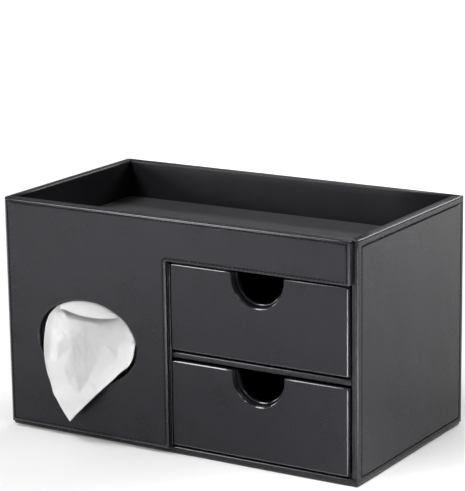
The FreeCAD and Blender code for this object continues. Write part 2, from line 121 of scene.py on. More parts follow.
def mixed(nt, fac, a, b):
    n = nt.nodes.new("ShaderNodeMix")
    n.data_type = "RGBA"
    n.inputs["A"].default_value = (*a, 1)
    n.inputs["B"].default_value = (*b, 1)
    nt.links.new(fac, n.inputs["Factor"])
    return n.outputs["Result"]


def bump(nt, p, height, strength, distance, below=None):
    b = nt.nodes.new("ShaderNodeBump")
    b.inputs["Strength"].default_value = strength
    b.inputs["Distance"].default_value = distance
    nt.links.new(height, b.inputs["Height"])
    if below is not None:
        nt.links.new(below, b.inputs["Normal"])
    else:
        nt.links.new(b.outputs["Normal"], p.inputs["Normal"])
    return b.outputs["Normal"]


def leather(name, dark, light, rough=(0.4, 0.52), grain=1.0, cell=950.0, level=0.5):
    """Fine-grain imitation leather: pebble cells, pores between them, soft mottling."""
    m, nt, p, vec = new_material(name)
    wide = tex_noise(nt, vec, 26.0, 4.0, 0.6)
    fine = tex_noise(nt, vec, 520.0, 3.0, 0.6)
    v = nt.nodes.new("ShaderNodeTexVoronoi")
    v.feature = "SMOOTH_F1"
    v.inputs["Scale"].default_value = cell
    v.inputs["Smoothness"].default_value = 0.35
    nt.links.new(vec, v.inputs["Vector"])
    cells = v.outputs["Distance"]
    tone = maths(nt, "ADD", maths(nt, "MULTIPLY", wide, 0.7), maths(nt, "MULTIPLY", fine, 0.3))
    nt.links.new(mixed(nt, remap(nt, tone, 0.36, 0.64, 0, 1), dark, light), p.inputs["Base Color"])
    gloss = maths(nt, "ADD", maths(nt, "MULTIPLY", wide, 0.8), maths(nt, "MULTIPLY", cells, 0.35))
    worn = nt.nodes.new("ShaderNodeAttribute")
    worn.attribute_name = "worn"
    drop = maths(nt, "SUBTRACT", 1.0, maths(nt, "MULTIPLY", worn.outputs["Fac"], 0.42))
    nt.links.new(maths(nt, "MULTIPLY", remap(nt, gloss, 0.3, 0.85, rough[0], rough[1]), drop), p.inputs["Roughness"])
    keen = maths(nt, "MULTIPLY", maths(nt, "MAXIMUM", maths(nt, "SUBTRACT", worn.outputs["Fac"], 1.0), 0.0), 0.9)
    lift = maths(nt, "ADD", maths(nt, "MULTIPLY", worn.outputs["Fac"], 0.3), keen)
    nt.links.new(maths(nt, "ADD", lift, level), p.inputs["Specular IOR Level"])
    p.inputs["Specular Tint"].default_value = (0.95, 0.935, 1.0, 1)
    relief = maths(nt, "ADD", maths(nt, "MULTIPLY", cells, 0.8), maths(nt, "MULTIPLY", fine, 0.5))
    b = nt.nodes.new("ShaderNodeBump")
    b.invert = True
    b.inputs["Strength"].default_value = 0.35 * grain
    b.inputs["Distance"].default_value = 0.00012
    nt.links.new(relief, b.inputs["Height"])
    b2 = nt.nodes.new("ShaderNodeBump")
    b2.inputs["Strength"].default_value = 0.25
    b2.inputs["Distance"].default_value = 0.0006
    nt.links.new(tex_noise(nt, vec, 38.0, 2.0, 0.5), b2.inputs["Height"])
    nt.links.new(b2.outputs["Normal"], b.inputs["Normal"])
    nt.links.new(b.outputs["Normal"], p.inputs["Normal"])
    return m


def cloth(name, dark, light, scale=1400.0, sheen=0.25, strength=0.5, rough=0.92):
    """Short-nap fabric: fibres as fine noise, a little sheen."""
    m, nt, p, vec = new_material(name)
    a = tex_noise(nt, vec, scale, 4.0, 0.7)
    c = tex_noise(nt, vec, 60.0, 3.0, 0.5)
    tone = maths(nt, "ADD", maths(nt, "MULTIPLY", a, 0.6), maths(nt, "MULTIPLY", c, 0.4))
    nt.links.new(mixed(nt, remap(nt, tone, 0.35, 0.65, 0, 1), dark, light), p.inputs["Base Color"])
    p.inputs["Roughness"].default_value = rough
    p.inputs["Sheen Weight"].default_value = sheen
    p.inputs["Sheen Roughness"].default_value = 0.5
    b = nt.nodes.new("ShaderNodeBump")
    b.inputs["Strength"].default_value = strength
    b.inputs["Distance"].default_value = 0.00025
    nt.links.new(a, b.inputs["Height"])
    nt.links.new(b.outputs["Normal"], p.inputs["Normal"])
    return m


def ribbon(name, dark, light):
    """Ribbed ribbon: fine cross ribs."""
    m, nt, p, vec = new_material(name)
    w = nt.nodes.new("ShaderNodeTexWave")
    w.wave_type = "BANDS"
    w.bands_direction = "Z"
    w.inputs["Scale"].default_value = 320.0
    w.inputs["Distortion"].default_value = 0.6
    nt.links.new(vec, w.inputs["Vector"])
    nt.links.new(mixed(nt, w.outputs["Fac"], dark, light), p.inputs["Base Color"])
    p.inputs["Roughness"].default_value = 0.62
    b = nt.nodes.new("ShaderNodeBump")
    b.inputs["Strength"].default_value = 0.6
    b.inputs["Distance"].default_value = 0.0002
    nt.links.new(w.outputs["Fac"], b.inputs["Height"])
    nt.links.new(b.outputs["Normal"], p.inputs["Normal"])
    return m


def thread(name, dark, light):
    m, nt, p, vec = new_material(name)
    a = tex_noise(nt, vec, 2600.0, 2.0, 0.6)
    nt.links.new(mixed(nt, a, dark, light), p.inputs["Base Color"])
    nt.links.new(remap(nt, a, 0.3, 0.7, 0.6, 0.78), p.inputs["Roughness"])
    p.inputs["Specular IOR Level"].default_value = 0.05
    b = nt.nodes.new("ShaderNodeBump")
    b.inputs["Strength"].default_value = 0.7
    b.inputs["Distance"].default_value = 0.0001
    nt.links.new(a, b.inputs["Height"])
    nt.links.new(b.outputs["Normal"], p.inputs["Normal"])
    return m


def tissue_paper(name):
    """Soft white tissue: faint crepe lines and fibres."""
    m, nt, p, vec = new_material(name)
    mp = nt.nodes.new("ShaderNodeMapping")
    mp.inputs["Scale"].default_value = (260.0, 260.0, 1500.0)
    mp.inputs["Rotation"].default_value = (0.0, 0.5, 0.0)
    nt.links.new(vec, mp.inputs["Vector"])
    crepe = tex_noise(nt, mp.outputs["Vector"], 1.0, 3.0, 0.6)
    fibre = tex_noise(nt, vec, 1900.0, 3.0, 0.7)
    wide = tex_noise(nt, vec, 45.0, 3.0, 0.5)
    tone = maths(nt, "ADD", maths(nt, "MULTIPLY", fibre, 0.4), maths(nt, "MULTIPLY", wide, 0.6))
    nt.links.new(mixed(nt, remap(nt, tone, 0.35, 0.65, 0, 1), (0.575, 0.575, 0.58), (0.645, 0.645, 0.645)),
                 p.inputs["Base Color"])
    p.inputs["Roughness"].default_value = 0.95
    p.inputs["Specular IOR Level"].default_value = 0.2
    h = maths(nt, "ADD", maths(nt, "MULTIPLY", crepe, 0.7), maths(nt, "MULTIPLY", fibre, 0.3))
    b = nt.nodes.new("ShaderNodeBump")
    b.inputs["Strength"].default_value = 0.22
    b.inputs["Distance"].default_value = 0.0002
    nt.links.new(h, b.inputs["Height"])
    nt.links.new(b.outputs["Normal"], p.inputs["Normal"])
    return m


def steel(name):
    m, nt, p, vec = new_material(name)
    a = tex_noise(nt, vec, 900.0, 3.0, 0.6)
    nt.links.new(mixed(nt, a, (0.5, 0.5, 0.52), (0.66, 0.66, 0.68)), p.inputs["Base Color"])
    p.inputs["Metallic"].default_value = 1.0
    nt.links.new(remap(nt, a, 0.3, 0.7, 0.22, 0.36), p.inputs["Roughness"])
    return m


LEATHER = leather("look_leather", (0.0098, 0.0094, 0.0118), (0.0138, 0.0132, 0.0162), (0.24, 0.34), 1.0, 950.0, 0.235)
WRAP = leather("look_wrap", (0.009, 0.0087, 0.0108), (0.0125, 0.012, 0.0148), (0.22, 0.32), 0.9, 950.0, 0.3)
# a darker, less shiny copy of the wrap: painted shade for the drawers' inner front boards, seen through the finger
# notch
WRAP_PAINTED_SHADE = leather("look_wrap_painted_shade", (0.006, 0.0058, 0.007), (0.009, 0.0088, 0.0105), (0.3, 0.4), 0.9, 950.0, 0.1)
LINING = leather("look_lining", (0.0175, 0.0172, 0.0205), (0.024, 0.0236, 0.0275), (0.36, 0.48), 0.8, 1200.0, 0.36)
FLANNEL = cloth("look_flannel", (0.026, 0.026, 0.0295), (0.044, 0.044, 0.0485), 1500.0, 0.08)
FELT = cloth("look_felt", (0.03, 0.03, 0.033), (0.055, 0.055, 0.06), 900.0, 0.3, 0.8)
THREAD = thread("look_thread", (0.003, 0.003, 0.0035), (0.009, 0.009, 0.0105))
RIBBON = ribbon("look_ribbon", (0.010, 0.010, 0.012), (0.03, 0.03, 0.034))
TISSUE = tissue_paper("look_tissue")
STEEL = steel("look_steel")

# ---------------------------------------------------------- outline geometry
# In-plane axes U, V and outward normal N of each face of the box, U x V = N.
FACES = {"front": ((1, 0, 0), (0, 0, 1), (0, -1, 0)), "back": ((-1, 0, 0), (0, 0, 1), (0, 1, 0)),
         "right": ((0, 1, 0), (0, 0, 1), (1, 0, 0)), "left": ((0, -1, 0), (0, 0, 1), (-1, 0, 0)),
         "top": ((1, 0, 0), (0, 1, 0), (0, 0, 1)), "bottom": ((-1, 0, 0), (0, 1, 0), (0, 0, -1))}


def span(node, face):
    """A node's extent in a face's own axes: u0, u1, v0, v1, w0, w1 in millimetres."""
    lo, hi = (np.array(c) * 1000.0 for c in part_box(node))
    out = []
    for axis in FACES[face]:
        a, b = float(np.dot(lo, axis)), float(np.dot(hi, axis))
        out += [min(a, b), max(a, b)]
    return out


def to_row(face, u, v, w):
    U, V, N = (np.array(a, float) for a in FACES[face])
    u, v, w = np.asarray(u, float), np.asarray(v, float), np.asarray(w, float)
    return (u[..., None] * U + v[..., None] * V + w[..., None] * N) / 1000.0


class Outline:
    """Closed loop with the material on its left. A corner is (u, v, radius), or radius None where
    a side runs on smoothly. arcs[i] is the centre of side i where it is a clockwise arc."""

    def __init__(self, corners, arcs=None, step=9.0, nc=5):
        self.P = [np.array(c[:2], float) for c in corners]
        self.r = [c[2] for c in corners]
        self.arcs = {k: np.array(c, float) for k, c in (arcs or {}).items()}
        self.nc = nc
        n = len(self.P)
        self.count = []
        for i in range(n):
            a, b = self.P[i], self.P[(i + 1) % n]
            if i in self.arcs:
                self.count.append(28)
            else:
                self.count.append(max(1, int(round(np.linalg.norm(b - a) / step))))

    def way(self, i, at_end):
        a, b = self.P[i], self.P[(i + 1) % len(self.P)]
        if i in self.arcs:
            d = (b if at_end else a) - self.arcs[i]
            d = np.array((d[1], -d[0]))
        else:
            d = b - a
        return d / np.linalg.norm(d)

    def ring(self, s):
        n = len(self.P)
        starts, ends, rounds = [], [], []
        for i in range(n):
            d1, d2 = self.way((i - 1) % n, True), self.way(i, False)
            n1, n2 = np.array((-d1[1], d1[0])), np.array((-d2[1], d2[0]))
            if self.r[i] is None:
                p = self.P[i] + s * n2
                ends.append(p)
                starts.append(p)
                rounds.append([p])
                continue
            m = self.P[i] + s * (n1 + n2) / (1 + n1 @ n2)
            turn = d1[0] * d2[1] - d1[1] * d2[0]
            rho = max(self.r[i] - s, 0.0) if turn > 0 else self.r[i] + s
            a, b = m - rho * d1, m + rho * d2
            c1, c2 = a + 0.5523 * rho * d1, b - 0.5523 * rho * d2
            pts = []
            for k in range(self.nc + 1):
                t = k / self.nc
                pts.append((1 - t) ** 3 * a + 3 * (1 - t) ** 2 * t * c1 + 3 * (1 - t) * t * t * c2 + t ** 3 * b)
            ends.append(a)
            starts.append(b)
            rounds.append(pts)
        out = []
        for i in range(n):
            out += rounds[i]
            a, b, m = starts[i], ends[(i + 1) % n], self.count[i]
            if i in self.arcs:
                c = self.arcs[i]
                a0 = math.atan2(*(a - c)[::-1])
                a1 = math.atan2(*(b - c)[::-1])
                while a1 > a0:
                    a1 -= 2 * math.pi
                r0, r1 = np.linalg.norm(a - c), np.linalg.norm(b - c)
                for k in range(1, m):
                    t = k / m
                    ang, rad = a0 + (a1 - a0) * t, r0 + (r1 - r0) * t
                    out.append(c + rad * np.array((math.cos(ang), math.sin(ang))))
            else:
                out += [a + (b - a) * k / m for k in range(1, m)]
        return np.array(out)


class Oval:
    """A hole: clockwise, so the material is on its left."""

    def __init__(self, cu, cv, ru, rv, n=96):
        t = -np.arange(n) * 2 * math.pi / n
        self.p = np.stack((cu + ru * np.cos(t), cv + rv * np.sin(t)), 1)
        nn = np.stack((np.cos(t) / ru, np.sin(t) / rv), 1)
        self.n = nn / np.linalg.norm(nn, axis=1)[:, None]

    def ring(self, s):
        return self.p + self.n * s


def rect(u0, u1, v0, v1, r=0.8, step=9.0, nc=4):
    return Outline([(u0, v0, r), (u1, v0, r), (u1, v1, r), (u0, v1, r)], step=step, nc=nc)


def rect_hole(u0, u1, v0, v1, r=0.8, step=9.0, nc=4):
    return Outline([(u0, v0, r), (u0, v1, r), (u1, v1, r), (u1, v0, r)], step=step, nc=nc)


def odd_inside(pts, loops):
    inside = np.zeros(len(pts), bool)
    for L in loops:
        x0, y0 = L[:, 0], L[:, 1]
        x1, y1 = np.roll(x0, -1), np.roll(y0, -1)
        for a, b, c, d in zip(x0, y0, x1, y1):
            if b == d:
                continue
            hit = ((pts[:, 1] >= b) != (pts[:, 1] >= d)) & (
                pts[:, 0] < a + (pts[:, 1] - b) / (d - b) * (c - a))
            inside ^= hit
    return inside


def nearest(pts, loops):
    """Distance from each point to the nearest side of the loops."""
    best = np.full(len(pts), 1e9)
    for L in loops:
        M = np.roll(L, -1, axis=0)
        for a, b in zip(L, M):
            d = b - a
            q = d @ d
            if q < 1e-12:
                continue
            t = np.clip(((pts - a) @ d) / q, 0, 1)
            best = np.minimum(best, np.linalg.norm(pts - (a + t[:, None] * d), axis=1))
    return best


def cleaned(L, tol=1e-4):
    keep = np.linalg.norm(L - np.roll(L, 1, axis=0), axis=1) > tol
    return L[keep]


def fill(loops, grid=0.0):
    """Triangles that fill the loops: points (2-D) and index triples, counter-clockwise."""
    loops = [cleaned(L) for L in loops]
    pts, edges = [], []
    for L in loops:
        k = len(pts)
        pts += [tuple(p) for p in L]
        edges += [(k + i, k + (i + 1) % len(L)) for i in range(len(L))]
    if grid:
        lo, hi = loops[0].min(0), loops[0].max(0)
        gu, gv = np.arange(lo[0] + grid / 2, hi[0], grid), np.arange(lo[1] + grid / 2, hi[1], grid)
        G = np.array([(a + (grid / 2 if j % 2 else 0), b) for j, b in enumerate(gv) for a in gu])
        if len(G):
            G = G[odd_inside(G, loops)]
            G = G[nearest(G, loops) > 0.45 * grid]
            pts += [tuple(p) for p in G]
    res = delaunay_2d_cdt([Vector(p) for p in pts], edges, [], 0, 1e-7)
    V = np.array([tuple(p) for p in res[0]])
    F = np.array([f for f in res[2] if len(f) == 3])
    cen = V[F].mean(1)
    F = F[odd_inside(cen, loops)]
    a, b, c = V[F[:, 0]], V[F[:, 1]], V[F[:, 2]]
    area = (b[:, 0] - a[:, 0]) * (c[:, 1] - a[:, 1]) - (b[:, 1] - a[:, 1]) * (c[:, 0] - a[:, 0])
    F[area < 0] = F[area < 0][:, ::-1]
    return V, F[np.abs(area) > 1e-9]


def make_object(name, verts, faces, mat, body=None, smooth=True, weld=2e-6, recalc=True, worn=None):
    me = bpy.data.meshes.new(name)
    bm = bmesh.new()
    layer = bm.verts.layers.float.new("worn") if worn is not None else None
    vs = [bm.verts.new(v) for v in verts]
    if layer is not None:
        for v, x in zip(vs, worn):
            v[layer] = x
    for f in faces:
        if len(set(f)) > 2:
            try:
                bm.faces.new([vs[i] for i in f])
            except ValueError:
                pass
    if weld:
        bmesh.ops.remove_doubles(bm, verts=bm.verts, dist=weld)
    loose = [v for v in bm.verts if not v.link_faces]
    if loose:
        bmesh.ops.delete(bm, geom=loose, context="VERTS")
    if recalc:
        bmesh.ops.recalc_face_normals(bm, faces=bm.faces)
    for f in bm.faces:
        f.smooth = smooth
    bm.to_mesh(me)
    bm.free()
    me.materials.append(mat)
    ob = bpy.data.objects.new(name, me)
    scene.collection.objects.link(ob)
    if body:
        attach(ob, body)
    return ob


def wavy(pts, seed, scale=34.0):
    return np.array([noise.noise(Vector((p[0] / scale + seed, p[1] / scale - seed, seed * 0.37))) for p in pts])


def panel(name, body, mat, face, outer, holes=(), w=(0.0, 1.0), rf=0.8, rb=0.5, profile=(), seam=None,
          grid=0.0, wave=0.0, seed=1.0, replaces=(), arc=5, hole_profile=None, shine=1.0, notch=None):
    """A wrapped board: flat back, rounded back edge, side (with a seam groove if asked), rounded
    front edge, then the front's own profile of (inset, height), and a gently uneven face. Holes
    have the outer profile, or one of their own. Edges are worn shiny, in a finger notch
    (centre, radius) only at its bottom."""
    w0, w1 = w
    seq = [(rb + 0.35, w0), (rb, w0)]
    for k in range(1, arc + 1):
        a = k / arc * math.pi / 2
        seq.append((rb * (1 - math.sin(a)), w0 + rb * (1 - math.cos(a))))
    if seam is not None:
        for dw, d in ((-0.4, 0.0), (-0.22, 0.10), (-0.08, 0.3), (0.08, 0.3), (0.22, 0.10), (0.4, 0.0)):
            seq.append((d, seam + dw))
    for k in range(0, arc + 1):
        a = k / arc * math.pi / 2
        seq.append((rf * (1 - math.cos(a)), w1 - rf * (1 - math.sin(a))))
    seq.append((rf + 0.3, w1))
    inner = seq + [(d, w1 + h) for d, h in (profile if hole_profile is None else hole_profile)]
    seq = seq + [(d, w1 + h) for d, h in profile]
    verts, faces, worn = [], [], []
    loops = [(outer, seq)] + [(L, inner) for L in holes]
    for L, seq in loops:
        base = []
        for d, ww in seq:
            r = L.ring(d)
            base.append(len(verts))
            on_edge = shine if ww > w1 - rf * 0.9 and d < rf * 0.9 else 0.0
            rub = np.full(len(r), on_edge)
            if notch is not None:
                away = np.hypot(r[:, 0] - notch[0], r[:, 1] - notch[1])
                low = np.clip(((notch[1] - r[:, 1]) / np.maximum(away, 1e-6) - 0.5) / 0.35, 0, 1)
                rub = np.where(away < notch[2] * 1.12, rub * low, rub)
            worn += list(rub)
            verts += list(to_row(face, r[:, 0], r[:, 1], np.full(len(r), ww)))
        n = len(r)
        for a, b in zip(base, base[1:]):
            for j in range(n):
                k = (j + 1) % n
                faces.append((a + j, a + k, b + k, b + j))
    ww = loops[0][1][-1][1]
    V, F = fill([L.ring(q[-1][0]) for L, q in loops], grid)
    h = np.zeros(len(V))
    if wave:
        far = nearest(V, [cleaned(L.ring(q[-1][0])) for L, q in loops])
        h = wavy(V, seed) * wave * np.clip(far / 9.0, 0, 1)
    k = len(verts)
    verts += list(to_row(face, V[:, 0], V[:, 1], ww + h))
    worn += [0.0] * len(V)
    faces += [tuple(k + i for i in f) for f in F]
    d, ww = seq[0]
    V, F = fill([L.ring(d) for L in (outer, *holes)])
    k = len(verts)
    verts += list(to_row(face, V[:, 0], V[:, 1], np.full(len(V), ww)))
    worn += [0.0] * len(V)
    faces += [tuple(k + i for i in f[::-1]) for f in F]
    ob = make_object(name, verts, faces, mat, body, worn=worn)
    if replaces:
        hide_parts(*replaces)
    return ob


def extruded(name, body, mat, section, place, s0, s1, mitre=1.0, parts=6, replaces=()):
    """A strip of constant section with mitred ends. section: loop of (p, q); place(s, p, q) -> mm."""
    n = len(section)
    verts, faces = [], []
    for k in range(parts + 1):
        t = k / parts
        for p, q in section:
            a, b = s0 - mitre * p, s1 + mitre * p
            verts.append(np.array(place(a + (b - a) * t, p, q)) / 1000.0)
    for k in range(parts):
        for j in range(n):
            i = (j + 1) % n
            faces.append((k * n + j, k * n + i, (k + 1) * n + i, (k + 1) * n + j))
    V, F = fill([np.array(section)])
    for end, t in ((0, 0.0), (1, 1.0)):
        k = len(verts)
        for p, q in V:
            a, b = s0 - mitre * p, s1 + mitre * p
            verts.append(np.array(place(a + (b - a) * t, p, q)) / 1000.0)
        faces += [tuple(k + i for i in (f if end else f[::-1])) for f in F]
    ob = make_object(name, verts, faces, mat, body)
    if replaces:
        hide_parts(*replaces)
    return ob


def resampled(path, closed, pitch):
    P = np.array(path, float)
    if closed:
        P = np.vstack((P, P[:1]))
    seg = np.linalg.norm(np.diff(P, axis=0), axis=1)
    s = np.concatenate(([0], np.cumsum(seg)))
    n = max(1, int(round(s[-1] / pitch)))

    def at(x):
        if closed:
            x = x % s[-1]
        else:
            x = min(max(x, 0.0), s[-1])
        i = min(int(np.searchsorted(s, x, "right")) - 1, len(seg) - 1)
        t = (x - s[i]) / max(seg[i], 1e-9)
        return P[i] + t * (P[i + 1] - P[i])

    return n, s[-1], at


def stitches(name, body, face, runs, w, pitch=3.6, length=2.4, wide=0.9, high=0.44, lean=4.0, mat=None):
    """Lockstitch: each stitch a lens of thread that comes up, lies on the leather and goes down."""
    verts, faces = [], []
    sections = 7
    sides = 8
    for path, closed in runs:
        n, total, at = resampled(path, closed, pitch)
        for k in range(n):
            mid = (k + 0.5) * total / n
            a, b = at(mid - length / 2), at(mid + length / 2)
            c = (a + b) / 2
            d = b - a
            if np.linalg.norm(d) < 0.75 * length:
                continue
            d /= np.linalg.norm(d)
            ang = math.radians(lean)
            d = np.array((d[0] * math.cos(ang) - d[1] * math.sin(ang), d[0] * math.sin(ang) + d[1] * math.cos(ang)))
            e = np.array((-d[1], d[0]))
            base = len(verts)
            for i in range(sections):
                t = -1 + 2 * i / (sections - 1)
                girth = (1 - abs(t) ** 2.6) ** 0.5 * 0.93 + 0.07
                lift = high * 0.42 * (1 - t * t) - 0.12 * t * t
                for j in range(sides):
                    q = 2 * math.pi * j / sides
                    off = e * math.cos(q) * wide / 2 * girth
                    uv = c + d * t * length / 2 + off
                    verts.append((uv[0], uv[1], w + lift + math.sin(q) * high / 2 * girth))
            for i in range(sections - 1):
                for j in range(sides):
                    m = (j + 1) % sides
                    faces.append((base + i * sides + j, base + i * sides + m,
                                  base + (i + 1) * sides + m, base + (i + 1) * sides + j))
            faces.append(tuple(base + j for j in range(sides))[::-1])
            faces.append(tuple(base + (sections - 1) * sides + j for j in range(sides)))
    A = np.array(verts)
    rows = to_row(face, A[:, 0], A[:, 1], A[:, 2])
    return make_object(name, list(rows), faces, mat or THREAD, body, weld=0)


# The edge of a sewn leather cover: a soft rolled strip, the stitch groove, then the flat face.
def sewn(at, deep=0.28):
    return [(at - 1.9, 0.02), (at - 0.95, 0.0), (at - 0.52, -0.04), (at - 0.42, -deep), (at + 0.42, -deep),
            (at + 0.52, -0.04), (at + 1.2, 0.02), (at + 2.6, 0.0)]


# ---------------------------------------------------------------- the case
PANEL = "front_panel_cover"
u0, u1, v0, v1, w0, w1 = span(PANEL, "front")
leg, band = -4.2, 145.2
L_shape = Outline([(u0, v0, 1.6), (leg, v0, 1.2), (leg, band, 0.7), (u1, band, 1.4), (u1, v1, 1.6), (u0, v1, 1.6)],
                  step=7.0)
OVAL = (-74.6, 75.6, 43.4, 31.2)
panel("front_panel_leather", "case", LEATHER, "front", L_shape, [Oval(*OVAL, n=120)], (w0, w1), 1.5, 0.4,
      [(1.78, 0.0), (1.9, -0.03), (1.99, -0.28), (2.81, -0.28), (2.91, -0.03), (3.3, 0.02), (4.4, 0.0)],
      seam=84.0, grid=6.0, wave=0.16, seed=2.3, replaces=(PANEL, "front_panel_board"), arc=8,
      hole_profile=[(2.2, 0.0), (3.4, 0.0)])
stitches("front_panel_stitches", "case", "front", [(L_shape.ring(2.4), True)], w1 - 0.28)

# the board behind it, and the other boards: tops stop under the lining's lip
LIP = 0.65
top = span("front_board", "front")[3]
u0, u1, v0, v1, w0, w1 = span("front_board", "front")
board_shape = Outline([(u0, v0, 0.4), (-7.6, v0, 0.4), (-7.6, band, 0.4), (u1, band, 0.4), (u1, v1 - LIP, 0.4),
                       (u0, v1 - LIP, 0.4)])
panel("front_board_wrapped", "case", WRAP, "front", board_shape, [Oval(*OVAL)], (w0, w1), 0.5, 0.5,
      replaces=("front_board",))

for side in ("left", "right"):
    u0, u1, v0, v1, w0, w1 = span(side + "_wall_board", side)
    a, b = (u0 + 0.8, u1) if side == "right" else (u0, u1 - 0.8)
    panel(side + "_wall_wrapped", "case", WRAP, side, rect(a, b, v0, v1 - LIP, 0.5), (), (w0, w1), 0.75, 0.6,
          replaces=(side + "_wall_board",))
    u0, u1, v0, v1, w0, w1 = span(side + "_side_cover", side)
    shape = rect(u0, u1, v0, v1, 1.4, 7.0)
    panel(side + "_side_leather", "case", LEATHER, side, shape, (), (w0, w1), 1.25, 0.35, sewn(4.9), grid=6.0,
          wave=0.14, seed=5.1 if side == "left" else 8.7, replaces=(side + "_side_cover",))
    stitches(side + "_side_stitches", "case", side, [(shape.ring(4.9), True)], w1 - 0.28)

# back: board and leather round the loading opening
bl, br, bz0, bz1 = -137.8, -15.2, 10.2, 134.4
u0, u1, v0, v1, w0, w1 = span("back_board", "back")
hole = rect_hole(-br, -bl, bz0, bz1, 0.6)
panel("back_board_wrapped", "case", WRAP, "back", rect(u0, u1, v0, v1 - LIP, 0.5), [hole], (w0, w1), 0.4, 0.4,
      replaces=("back_board",))
u0, u1, v0, v1, w0, w1 = span("back_cover", "back")
shape = rect(u0, u1, v0, v1, 1.4, 7.0)
panel("back_leather", "case", LEATHER, "back", shape, [hole], (w0, w1), 1.1, 0.35, sewn(4.9), grid=6.0, wave=0.14,
      seed=3.9, replaces=("back_cover",), hole_profile=[(1.6, 0.0), (2.2, 0.0)])
stitches("back_stitches", "case", "back", [(shape.ring(4.9), True)], w1 - 0.28)

# inside boards
for node, face in (("partition_board", "right"), ("drawer_shelf", "top"), ("tray_floor_board", "top"),
                   ("base_board", "top")):
    u0, u1, v0, v1, w0, w1 = span(node, face)
    r = {"partition_board": 0.9, "drawer_shelf": 1.1, "tray_floor_board": 0.4, "base_board": 1.2}[node]
    panel(node + "_wrapped", "case", WRAP, face, rect(u0, u1, v0, v1, 0.6), (), (w0, w1), r, min(r, 1.0),
          replaces=(node,))
u0, u1, v0, v1, w0, w1 = span("underside_felt", "top")
panel("underside_felt_pad", "case", FELT, "top", rect(u0, u1, v0, v1, 2.0), (), (w0, w1), 0.4, 0.3, grid=12.0,
      replaces=("underside_felt",))

# tray linings: thin boards with a lip over the rim, mitred at the corners
z_low, z_top = span("tray_lining_left", "right")[2:4]


def lining_section(depth=5.8, thick=2.0):
    o = Outline([(0.0, z_low, 0.2), (thick, z_low, 0.2), (thick, z_top - LIP, 0.1), (depth - 0.12, z_top - LIP, 0.25),
                 (depth - 0.12, z_top, 0.62), (0.0, z_top, 1.15)], step=6.0, nc=6)
    return [tuple(p) for p in cleaned(o.ring(0.0))]


sec = lining_section()
x_in, y_f, y_b = 142.4, -76.7, 74.9
gap = 0.02
extruded("tray_lining_left_wrapped", "case", LINING, sec, lambda s, p, q: (-x_in - p, s, q), y_f + gap, y_b - gap,
         replaces=("tray_lining_left",))
extruded("tray_lining_right_wrapped", "case", LINING, sec, lambda s, p, q: (x_in + p, s, q), y_f + gap, y_b - gap,
         replaces=("tray_lining_right",))
extruded("tray_lining_front_wrapped", "case", LINING, sec, lambda s, p, q: (s, y_f - p, q), -x_in + gap, x_in - gap,
         replaces=("tray_lining_front",))
extruded("tray_lining_back_wrapped", "case", LINING, sec, lambda s, p, q: (s, y_b + p, q), -x_in + gap, x_in - gap,
         replaces=("tray_lining_back",))
u0, u1, v0, v1, w0, w1 = span("tray_mat", "top")
panel("tray_mat_soft", "case", FLANNEL, "top", rect(u0, u1, v0, v1, 1.0), (), (w0, w1), 0.45, 0.2, grid=9.0,
      wave=0.05, seed=6.6, replaces=("tray_mat",))

# ---------------------------------------------------------------- drawers
def notched(u0, u1, v0, v1, cu, cv, r, rad=1.2):
    return Outline([(u0, v0, rad), (u1, v0, rad), (u1, v1, rad), (cu + r, v1, 0.9), (cu + r, cv, None),
                    (cu - r, cv, None), (cu - r, v1, 0.9), (u0, v1, rad)], arcs={4: (cu, cv)}, step=6.0)


for n, (prefix, cv) in enumerate((("upper_drawer", 140.8), ("lower_drawer", 68.6))):
    body = prefix
    u0, u1, v0, v1, w0, w1 = span(prefix + "_face_cover", "front")
    cu = (u0 + u1) / 2
    panel(prefix + "_face_leather", body, LEATHER, "front", notched(u0, u1, v0, v1, cu, cv, 21.3, 1.3), (), (w0, w1),
          0.95, 0.8, [(1.9, 0.0)], seam=(w0 + w1) / 2 - 0.35, grid=6.0, wave=0.1,
          seed=11.0 + n, arc=7, shine=1.8, notch=(cu, cv, 21.3), replaces=(prefix + "_face_cover", prefix + "_face_board"))
    u0, u1, v0, v1, w0, w1 = span(prefix + "_box_front", "front")
    # inner front board in the darker wrap copy: painted shade in the notch's recess
    panel(prefix + "_box_front_wrapped", body, WRAP_PAINTED_SHADE, "front", notched(u0, u1, v0, v1, cu, cv, 19.1, 0.5), (),
          (w0, w1), 0.8, 1.0, shine=1.9, notch=(cu, cv, 19.1), replaces=(prefix + "_box_front",))
    for part, face in (("_box_left", "left"), ("_box_right", "right"), ("_box_back", "back")):
        u0, u1, v0, v1, w0, w1 = span(prefix + part, face)
        panel(prefix + part + "_wrapped", body, WRAP, face, rect(u0, u1, v0, v1, 0.5), (), (w0, w1), 1.0, 1.0,
              replaces=(prefix + part,))
    u0, u1, v0, v1, w0, w1 = span(prefix + "_box_bottom", "top")
    panel(prefix + "_box_bottom_wrapped", body, WRAP, "top", rect(u0, u1, v0, v1, 0.8), (), (w0, w1), 0.3, 0.6,
          replaces=(prefix + "_box_bottom",))
    u0, u1, v0, v1, w0, w1 = span(prefix + "_box_mat", "top")
    panel(prefix + "_box_mat_soft", body, FLANNEL, "top", rect(u0, u1, v0, v1, 0.6), (), (w0, w1), 0.4, 0.2,
          grid=8.0, wave=0.08, seed=14.0 + n, replaces=(prefix + "_box_mat",))

# --------------------------------------------------------------- rear flap
u0, u1, v0, v1, w0, _ = span("flap_board", "back")
w1 = span("flap_cover", "back")[5]
shape = rect(u0, u1, v0, v1, 1.6, 6.0)
panel("flap_leather", "rear_flap", LEATHER, "back", shape, (), (w0, w1), 1.0, 0.8, sewn(4.2), seam=w0 + 2.0,
      grid=6.0, wave=0.1, seed=9.2, replaces=("flap_cover", "flap_board"))
ring = shape.ring(4.2)
stitches("flap_stitches", "rear_flap", "back",
         [([(u1 - 4.2, v1 - 11.0), (u1 - 4.2, v0 + 4.2), (u0 + 4.2, v0 + 4.2), (u0 + 4.2, v1 - 11.0)], False)],
         w1 - 0.22)

